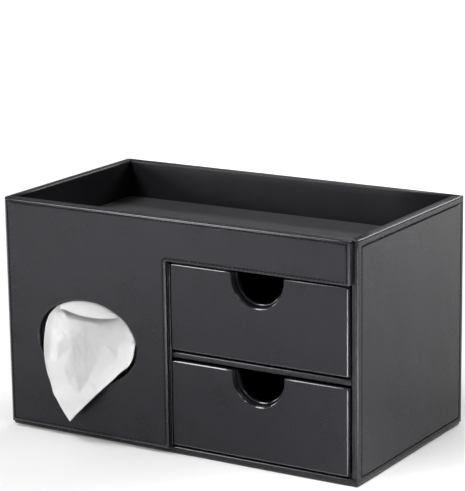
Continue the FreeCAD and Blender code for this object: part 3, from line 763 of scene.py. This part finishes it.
# leather hinge: one strip from the case, over the hinge line, down onto the flap
u0, u1, _, v1, w0, w1 = span("flap_hinge_leather", "back")
hinge_z = 134.0
low = hinge_z - 9.5
rows = []
nu, nv = 40, 44
verts, faces = [], []
zs = np.linspace(low, v1, nv + 1)
us = np.linspace(u0, u1, nu + 1)
for layer in (0, 1):
    for z in zs:
        edge = min(z - low, v1 - z)
        for u in us:
            rim = min(edge, u - u0, u1 - u)
            if layer:
                h = w1 - 0.42 * max(0.0, 1 - rim / 0.9) ** 2
                h -= 0.28 * math.exp(-((z - hinge_z) / 0.9) ** 2)
                h -= 0.16 * math.exp(-((edge - 3.0) / 0.55) ** 2)
            else:
                h = w0 + 0.03
            verts.append((u, z, h))
m = nu + 1
cnt = m * (nv + 1)
for j in range(nv):
    for i in range(nu):
        a = j * m + i
        faces.append((a, a + m, a + m + 1, a + 1))
        b = cnt + a
        faces.append((b, b + 1, b + m + 1, b + m))
for j in range(nv):
    a, b = j * m, j * m + nu
    faces.append((a, cnt + a, cnt + a + m, a + m))
    faces.append((b, b + m, cnt + b + m, cnt + b))
for i in range(nu):
    a, b = i, nv * m + i
    faces.append((a, a + 1, cnt + a + 1, cnt + a))
    faces.append((b, cnt + b, cnt + b + 1, b + 1))
A = np.array(verts)
strip = make_object("flap_hinge_strip", list(to_row("back", A[:, 0], A[:, 1], A[:, 2])), faces, LEATHER)
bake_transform(strip)
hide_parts("flap_hinge_leather")
stitches("hinge_case_stitches", "case", "back", [([(u0 + 2, v1 - 3.0), (u1 - 2, v1 - 3.0)], False)], w1 - 0.1)
stitches("hinge_flap_stitches", "rear_flap", "back", [([(u0 + 2, low + 3.0), (u1 - 2, low + 3.0)], False)], w1 - 0.1)

# ribbon tab: doubled over, its lower loop soft
u0, u1, v0, v1, w0, w1 = span("flap_pull_tab", "back")
verts, faces = [], []
nu, nz = 10, 26
path = []
for k in range(nz + 1):
    t = k / nz
    path.append((v1 - (v1 - v0 - 0.5) * t, w0 + 0.04 + 0.12 * math.sin(math.pi * t)))
for k in range(1, 7):
    a = math.pi * k / 7
    path.append((v0 + 0.5 - 0.28 * math.sin(a), (w0 + w1) / 2 - 0.3 * math.cos(a)))
for k in range(nz + 1):
    t = k / nz
    path.append((v0 + 0.5 + (v1 - v0 - 0.5) * t, w1 - 0.12 + 0.1 * math.sin(math.pi * t) - 0.22 * t))
for (z, h) in path:
    for i in range(nu + 1):
        u = u0 + (u1 - u0) * i / nu
        verts.append((u, z, h))
m = nu + 1
for j in range(len(path) - 1):
    for i in range(nu):
        a = j * m + i
        faces.append((a, a + 1, a + m + 1, a + m))
A = np.array(verts)
tab = make_object("flap_pull_ribbon", list(to_row("back", A[:, 0], A[:, 1], A[:, 2])), faces, RIBBON, "rear_flap",
                  recalc=False)
sol = tab.modifiers.new("thick", "SOLIDIFY")
sol.thickness = 0.00022
sol.offset = 0
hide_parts("flap_pull_tab")
stitches("tab_stitches", "rear_flap", "back", [([(u0 + 1.5, v1 - 3.5), (u1 - 1.5, v1 - 3.5)], False),
                                               ([(u0 + 1.5, v1 - 6.5), (u1 - 1.5, v1 - 6.5)], False)],
         w1 - 0.1, pitch=2.6, length=1.9, wide=0.45, high=0.3)

# nodes that stay as they are, with a finish of their own
for node, mat in (("flap_stop_strip", WRAP), ("flap_magnets", STEEL), ("stop_magnets", STEEL)):
    ob = NODES[node]
    ob.data.materials.clear()
    ob.data.materials.append(mat)

# ----------------------------------------------------------------- tissues
def pack_of_tissues():
    """A stack of folded tissues: every fold a soft ridge round the stack."""
    lo, hi = (np.array(c) * 1000.0 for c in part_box("tissue_pack"))
    per = 132
    stations = []
    y = lo[1] + 0.4
    k = 0
    while y < hi[1] - 0.5:
        for dy, inset in ((0.0, 0.75), (0.35, 0.18), (0.75, 0.05), (1.15, 0.2)):
            stations.append((y + dy, inset, k))
        k += 1
        y += 1.55
    cx, cz = (lo[0] + hi[0]) / 2, (lo[2] + hi[2]) / 2
    ax, az = (hi[0] - lo[0]) / 2, (hi[2] - lo[2]) / 2
    verts, faces = [], []
    for y, inset, k in stations:
        for j in range(per):
            a = 2 * math.pi * j / per
            c, s = math.cos(a), math.sin(a)
            e = 2 / 14.0
            px = ax * math.copysign(abs(c) ** e, c)
            pz = az * math.copysign(abs(s) ** e, s)
            jit = 0.5 * noise.noise(Vector((k * 0.83, j * 0.07, 3.1))) + 0.35 * noise.noise(Vector((k * 2.1, j * 0.31, 9.4)))
            f = 1 - (inset + 0.55 + jit) / ax
            yy = y + 0.3 * noise.noise(Vector((px * 0.05, pz * 0.05, k * 0.2)))
            verts.append(((cx + px * f) / 1000, yy / 1000, (cz + (pz * f)) / 1000))
    n = len(stations)
    for i in range(n - 1):
        for j in range(per):
            m = (j + 1) % per
            faces.append((i * per + j, i * per + m, (i + 1) * per + m, (i + 1) * per + j))
    for end in (0, n - 1):
        y = stations[end][0]
        mid = len(verts)
        rings = [[end * per + j for j in range(per)]]
        for q in np.arange(0.96, 0.03, -0.04):
            row = []
            for j in range(per):
                x, _, z = verts[end * per + j]
                px, pz = x * 1000 - cx, z * 1000 - cz
                dy = (0.5 if end else -0.0) + 0.5 * noise.noise(Vector((px * q * 0.03, pz * q * 0.05, 5.0 + end)))
                fold = pz * q + px * q * 0.03 - 4.0
                dy -= 0.9 / (1 + math.exp(-fold / 0.7)) + 0.35 * math.exp(-((fold + 1.5) / 1.8) ** 2) if end else 0.0
                row.append(len(verts))
                verts.append(((cx + px * q) / 1000, (y + (dy if end else -0.2 + dy * 0.3)) / 1000, (cz + pz * q) / 1000))
            rings.append(row)
        for r0, r1 in zip(rings, rings[1:]):
            for j in range(per):
                m = (j + 1) % per
                faces.append((r0[j], r0[m], r1[m], r1[j]))
        faces.append(tuple(rings[-1]))
    ob = make_object("tissue_stack", verts, faces, TISSUE, "case")
    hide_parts("tissue_pack")
    return ob


pack_of_tissues()


def along(points, n):
    """n points evenly along a polyline."""
    P = np.array(points, float)
    s = np.concatenate(([0], np.cumsum(np.linalg.norm(np.diff(P, axis=0), axis=1))))
    t = np.linspace(0, s[-1], n)
    return np.stack([np.interp(t, s, P[:, k]) for k in range(P.shape[1])], 1)


def depth_place(X, Z, h):
    """The point at h mm in front of the panel that is seen through (X, Z) of the plane y = -90."""
    Q = np.stack((X, np.full_like(X, -90.0), Z), -1)
    y = -87.5 - h
    t = (y - EYE[1]) / (Q[..., 1] - EYE[1])
    return EYE + (Q - EYE) * t[..., None]


# heights in front of the panel at points of the pulled tissue, seen through the plane y = -90:
# edges, fold line of the hanging corner, facets above it, and the roll under the upper lobe
FOLDS = [(-90.3, 12.3, 9.0), (-99.0, 23.5, 5.5), (-104.7, 32.0, 3.0), (-107.5, 42.2, 1.4), (-110.0, 48.8, 1.0),
         (-111.6, 56.4, 1.2), (-112.0, 67.2, 1.8), (-110.6, 80.6, 1.6), (-108.1, 89.1, 0.6), (-104.0, 95.0, -1.0),
         (-97.9, 100.8, -2.2), (-83.6, 19.7, 9.0), (-71.4, 31.3, 9.4), (-64.8, 37.7, 6.6), (-58.4, 43.4, 3.6),
         (-50.1, 50.7, 1.8), (-43.7, 57.1, 1.2), (-36.5, 62.5, 1.2), (-33.3, 67.3, 1.6), (-30.5, 77.2, 1.2),
         (-31.9, 83.8, -4.6), (-36.1, 91.5, -7.6), (-42.1, 97.2, -9.0), (-101.4, 57.9, 3.2), (-95.1, 53.3, 4.4),
         (-84.3, 49.9, 2.2), (-72.6, 47.0, -0.2), (-64.3, 41.3, 2.0), (-93.3, 28.7, 7.4), (-82.1, 34.3, 7.6),
         (-98.4, 39.6, 2.4), (-89.2, 41.0, 5.4), (-99.4, 72.1, 5.4), (-93.3, 77.2, 5.8), (-88.8, 77.1, 5.2),
         (-85.3, 71.8, 4.2), (-77.3, 69.4, 1.4), (-67.3, 70.9, -1.8), (-64.5, 62.4, -2.6), (-60.8, 52.2, -1.0),
         (-104.6, 81.4, 0.6), (-106.0, 69.6, 0.9), (-106.8, 60.2, 0.7), (-101.9, 90.7, -1.0), (-96.5, 90.2, -0.4),
         (-91.1, 87.9, 1.0), (-94.9, 83.5, 1.2), (-85.7, 87.1, 1.4), (-80.5, 80.9, 2.6), (-73.9, 89.5, -0.6),
         (-60.5, 89.0, -3.8), (-49.8, 88.9, -6.8), (-56.4, 76.6, -4.2), (-44.9, 77.5, -6.4), (-45.2, 66.8, -3.8),
         (-54.2, 61.6, -3.6), (-38.0, 71.6, -1.4), (-39.4, 82.0, -6.6), (-94.4, 96.3, -2.5), (-87.2, 93.8, -1.2),
         (-78.2, 93.1, -0.8), (-69.3, 93.1, -1.6), (-60.3, 93.2, -4.6), (-51.4, 94.4, -7.2), (-44.3, 96.1, -8.8),
         (-96.1, 99.5, -4.5), (-87.1, 98.0, -8.0), (-78.1, 96.9, -8.0), (-69.1, 96.6, -8.6), (-60.2, 97.0, -10.4),
         (-51.3, 98.2, -11.6), (-44.2, 99.9, -11.6), (-91.4, 103.6, -6.5), (-76.8, 107.0, -8.5),
         (-64.3, 106.7, -8.5), (-55.5, 104.8, -8.0)]
CREASES = [(23, 24, 25, 26, 27), (23, 32, 33, 34, 35, 36, 37, 38, 39, 14), (40, 41, 42), (53, 57, 20),
           (8, 43, 44, 45, 46), (58, 59, 60, 61, 62, 63, 64), (65, 66, 67, 68, 69, 70, 71)]


def fold_field(X, Z, blur=0.7):
    P = np.array(FOLDS)
    lines = [(a, b) for row in CREASES for a, b in zip(row, row[1:])]
    res = delaunay_2d_cdt([Vector(p[:2]) for p in P], lines, [], 0, 1e-7)
    V = np.array([tuple(p) for p in res[0]])
    H = np.zeros(len(V))
    for i, p in enumerate(V):
        H[i] = P[np.argmin(np.hypot(*(P[:, :2] - p).T)), 2]
    T = [f for f in res[2] if len(f) == 3]
    lo, hi, step = np.array((-122.0, 4.0)), np.array((-24.0, 116.0)), 0.8
    gx, gz = np.arange(lo[0], hi[0], step), np.arange(lo[1], hi[1], step)
    GX, GZ = np.meshgrid(gx, gz)
    out = np.full(GX.shape, np.nan)
    for f in T:
        a, b, c = V[list(f)]
        m = np.array(((b[0] - a[0], c[0] - a[0]), (b[1] - a[1], c[1] - a[1])))
        if abs(np.linalg.det(m)) < 1e-9:
            continue
        q = np.linalg.inv(m)
        s = q[0, 0] * (GX - a[0]) + q[0, 1] * (GZ - a[1])
        t = q[1, 0] * (GX - a[0]) + q[1, 1] * (GZ - a[1])
        k = (s >= -1e-6) & (t >= -1e-6) & (s + t <= 1 + 1e-6)
        out[k] = (H[f[0]] * (1 - s - t) + H[f[1]] * s + H[f[2]] * t)[k]
    bad = np.isnan(out)
    if bad.any():
        bx, bz = GX[bad], GZ[bad]
        gi = np.argmin((bx[:, None] - P[None, :, 0]) ** 2 + (bz[:, None] - P[None, :, 1]) ** 2, axis=1)
        out[bad] = P[gi, 2]
    r = int(math.ceil(3 * blur / step))
    ker = np.exp(-0.5 * (np.arange(-r, r + 1) * step / blur) ** 2)
    ker /= ker.sum()
    pad = np.pad(out, r, mode="edge")
    pad = np.apply_along_axis(lambda v: np.convolve(v, ker, "valid"), 0, pad)
    pad = np.apply_along_axis(lambda v: np.convolve(v, ker, "valid"), 1, pad)
    fx = np.clip((X - gx[0]) / step, 0, len(gx) - 1.001)
    fz = np.clip((Z - gz[0]) / step, 0, len(gz) - 1.001)
    i, j = fx.astype(int), fz.astype(int)
    a, b = fx - i, fz - j
    return ((1 - a) * (1 - b) * pad[j, i] + a * (1 - b) * pad[j, i + 1] + (1 - a) * b * pad[j + 1, i]
            + a * b * pad[j + 1, i + 1])


def pulled_tissue():
    cx, cz, rx, rz = OVAL
    # outline seen through y = -90: tip, up the right edge, round the hole's rim, down the left edge
    right = [(-90.3, 12.3), (-83.6, 19.5), (-77.5, 25.3), (-71.4, 31.2), (-64.8, 37.6), (-58.4, 43.5), (-50.1, 50.7),
             (-43.7, 56.9), (-40.1, 59.9), (-36.5, 62.5), (-33.7, 66.3), (-31.8, 70.6), (-30.7, 75.7)]
    rim = []
    for k in range(0, 24):
        a = math.radians(7 + k * (123 - 7) / 23.0)
        q = np.array((cx + (rx - 0.5) * math.cos(a), -86.6, cz + (rz - 0.5) * math.sin(a)))
        t = (-90.0 - EYE[1]) / (q[1] - EYE[1])
        p = EYE + (q - EYE) * t
        rim.append((p[0], p[2]))
    left = [(-97.9, 101.1), (-101.6, 98.0), (-104.9, 94.5), (-107.2, 91.1), (-108.6, 87.8), (-109.9, 83.8),
            (-110.7, 79.1), (-111.6, 72.7), (-112.2, 66.4), (-112.0, 60.2), (-111.4, 55.3), (-110.4, 50.3),
            (-109.2, 45.8), (-107.5, 41.8), (-106.2, 37.7), (-105.3, 33.9), (-104.2, 31.3), (-101.6, 27.8),
            (-99.0, 23.5), (-95.1, 18.2)]
    loop = along(right + rim + left + [right[0]], 300)[:-1]
    # slightly uneven free edge
    V, F = fill([loop], 1.5)
    H = fold_field(V[:, 0], V[:, 1])
    far = nearest(V, [loop])
    small = np.array([noise.noise(Vector((p[0] * 0.09, p[1] * 0.07, 4.0))) * 0.35
                      + (0.5 - abs(noise.noise(Vector((p[0] * 0.16, p[1] * 0.1, 7.0))))) * 0.4
                      + noise.noise(Vector((p[0] * 0.42, p[1] * 0.3, 7.0))) * 0.12 for p in V])
    small += np.array([(0.5 - abs(noise.noise(Vector((p[0] * 0.26, p[1] * 0.22, 2.0))))) * 1.3
                       * math.exp(-((p[0] + 96.0) / 11.0) ** 2 - ((p[1] - 90.0) / 9.0) ** 2) for p in V])
    H = H + small * np.clip(far / 5.0, 0.15, 1)
    # free edges: the right one turns up a little, the left one down to the leather
    curl = np.exp(-(far / 1.2) ** 2) * (V[:, 1] < 70.0)
    H = H + curl * np.where(V[:, 0] + V[:, 1] * 1.14 > -62.0, 0.55, -0.15)
    # keep clear of the panel's face wherever the sheet hangs outside the hole
    P = depth_place(V[:, 0], V[:, 1], H)
    rho = np.sqrt(((P[:, 0] - cx) / rx) ** 2 + ((P[:, 2] - cz) / rz) ** 2)
    need = np.interp(rho, (0.93, 0.98), (-9.0, 0.55))
    low_part = P[:, 2] < 70.0
    H = np.where(low_part | (rho > 1.0), np.maximum(H, np.where(rho > 0.93, need, -9.0)), H)
    P = depth_place(V[:, 0], V[:, 1], H)
    verts = [tuple(p / 1000) for p in P]
    faces = [tuple(int(i) for i in f) for f in F]

    # upper lobe: comes over the top of the hole and rolls under along the fold line
    n_s, n_t = 44, 12
    curve = along([(-96.5, 99.8), (-90.7, 98.8), (-85.3, 97.6), (-78.1, 96.5), (-70.9, 96.1), (-60.2, 96.5),
                   (-51.3, 97.5), (-44.6, 99.2)], n_s)
    rim_pts = []
    for k in range(n_s):
        a = math.radians(123 - k * (123 - 49) / (n_s - 1))
        q = np.array((cx + (rx - 0.6) * math.cos(a), -85.4, cz + (rz - 0.6) * math.sin(a)))
        rim_pts.append(q)
    base = len(verts)
    rows = []
    for i in range(n_s):
        s = i / (n_s - 1)
        end = 4 * s * (1 - s)
        edge = depth_place(np.array([curve[i, 0]]), np.array([curve[i, 1]]), np.array([-1.6 + 6.2 * end ** 0.6]))[0]
        r = rim_pts[i]
        row = []
        for j in range(n_t + 1):
            t = j / n_t
            p = r * (1 - t) + edge * t
            puff = 1.6 * math.sin(math.pi * min(1, t * 1.02)) * end
            p = p + np.array((0, -puff, 0.15 * puff))
            row.append(p)
        # roll under and back up behind the lobe
        for dy, dz in ((0.3, -0.5), (0.9, -0.6), (1.5, -0.2), (2.0, 0.8), (2.3, 2.6), (2.6, 5.0)):
            row.append(edge + np.array((0, dy * (0.35 + 0.65 * end), dz * (0.4 + 0.6 * end))))
        rows.append(row)
    m = len(rows[0])
    for row in rows:
        verts += [tuple(p / 1000) for p in row]
    for i in range(n_s - 1):
        for j in range(m - 1):
            a = base + i * m + j
            faces.append((a, a + 1, a + m + 1, a + m))

    # throat: from the sheet's upper edge back to the slot in the stack, in soft pleats
    start = []
    for k in range(60):
        t = k / 59
        if t < 0.28:
            q = along([(-111.9, 69.5), (-111.6, 72.7), (-110.7, 79.1), (-109.9, 83.8), (-108.6, 87.8), (-107.2, 91.1),
                       (-104.9, 94.5), (-101.6, 98.0), (-98.2, 100.8)], 20)[int(t / 0.28 * 19)]
            start.append(depth_place(np.array([q[0]]), np.array([q[1]]),
                                     fold_field(np.array([q[0]]), np.array([q[1]])))[0])
        else:
            a = math.radians(124 - (t - 0.28) / 0.72 * (124 - 2))
            start.append(np.array((cx + (rx - 0.6) * math.cos(a), -86.4, cz + (rz - 0.6) * math.sin(a))))
    base = len(verts)
    n_t = 22
    for k, b in enumerate(start):
        s = k / 59
        slot = np.array((-103 + 56 * s + 2.5 * math.sin(9 * s), -41.0, 78.0 + 6.0 * math.sin(math.pi * s) + 1.2 * math.sin(23 * s)))
        for j in range(n_t + 1):
            t = j / n_t
            c1 = b + np.array((0, 9.0, 0.0))
            c2 = slot + np.array((0, -16.0, 1.5))
            p = (1 - t) ** 3 * b + 3 * (1 - t) ** 2 * t * c1 + 3 * (1 - t) * t * t * c2 + t ** 3 * slot
            rad = np.array((p[0] - cx, 0, p[2] - cz + 12))
            rad /= np.linalg.norm(rad) + 1e-9
            pleat = (2.6 * math.sin(s * 34.0 + 2.0 * t) + 1.2 * math.sin(s * 71.0 + 5 * t)) * math.sin(math.pi * t) ** 0.8
            verts.append(tuple((p + rad * min(pleat, 0.6 if t < 0.25 else 4.0)) / 1000))
    m = n_t + 1
    for k in range(59):
        for j in range(n_t):
            a = base + k * m + j
            faces.append((a, a + m, a + m + 1, a + 1))
    ob = make_object("tissue_pulled", verts, faces, TISSUE, "case", weld=0, recalc=False)
    sub = ob.modifiers.new("smooth", "SUBSURF")
    sub.levels = sub.render_levels = 1
    sol = ob.modifiers.new("ply", "SOLIDIFY")
    sol.thickness = 0.00022
    sol.offset = 0
    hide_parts("tissue_sheet")
    return ob


pulled_tissue()

# ------------------------------------------------------------ stage, lights
def stage():
    me = bpy.data.meshes.new("floor")
    bm = bmesh.new()
    bmesh.ops.create_grid(bm, x_segments=8, y_segments=8, size=6.0)
    bm.to_mesh(me)
    bm.free()
    ob = bpy.data.objects.new("floor", me)
    ob.location = (0, 0, -0.0002)
    scene.collection.objects.link(ob)
    m, nt, p, vec = new_material("floor_pale")
    n = tex_noise(nt, vec, 3.0, 2.0, 0.5)
    nt.links.new(mixed(nt, n, (0.9, 0.9, 0.9), (0.93, 0.93, 0.93)), p.inputs["Base Color"])
    p.inputs["Roughness"].default_value = 0.75
    me.materials.append(m)


def area(name, place, aim, size, power, size_y=None, spread=180):
    d = bpy.data.lights.new(name, "AREA")
    d.shape = "RECTANGLE"
    d.size = size
    d.size_y = size_y or size
    d.energy = power
    d.spread = math.radians(spread)
    ob = bpy.data.objects.new(name, d)
    ob.location = place
    way = Vector(aim) - Vector(place)
    ob.rotation_mode = "QUATERNION"
    ob.rotation_quaternion = way.to_track_quat("-Z", "Y")
    ob.visible_camera = False
    scene.collection.objects.link(ob)
    return ob


stage()
area("pool_front", (-0.45, -0.95, 0.8), (-0.45, -0.951, 0), 0.5, 6.2, spread=100)
area("pool_back", (0.7, 0.9, 0.8), (0.7, 0.901, 0), 0.5, 2.4, spread=100)
area("pool_right", (0.75, -0.5, 0.8), (0.75, -0.501, 0), 0.5, 7.0, spread=110)
area("back_far", (-0.3, 3.5, 2.4), (-0.3, 3.501, 0), 2.6, 230.0, spread=120)
area("key", (-0.76, -1.12, 0.90), (0.0, 0, 0.1), 0.36, 3.1)
area("rake", (-1.7, -0.72, 0.55), (-0.08, -0.09, 0.07), 0.45, 10.5)
area("edge", (-0.6, -0.32, 1.1), (0, -0.05, 0.14), 0.4, 6.5)
area("low", (-0.56, -1.02, 0.29), (0, -0.09, 0.11), 0.2, 2.2)
area("pool_corner", (0.36, -0.3, 0.8), (0.36, -0.301, 0), 0.3, 1.8, spread=40)
area("back", (0.3, 1.3, 0.88), (0.1, 0, 0.15), 0.36, 4.2)

world = bpy.data.worlds.new("studio")
world.use_nodes = True
bg = world.node_tree.nodes["Background"]
bg.inputs["Color"].default_value = (1.0, 1.0, 1.0, 1)
bg.inputs["Strength"].default_value = 0.1
scene.world = world
scene.view_settings.view_transform = "Standard"
scene.view_settings.look = "None"
scene.view_settings.exposure = 0.0
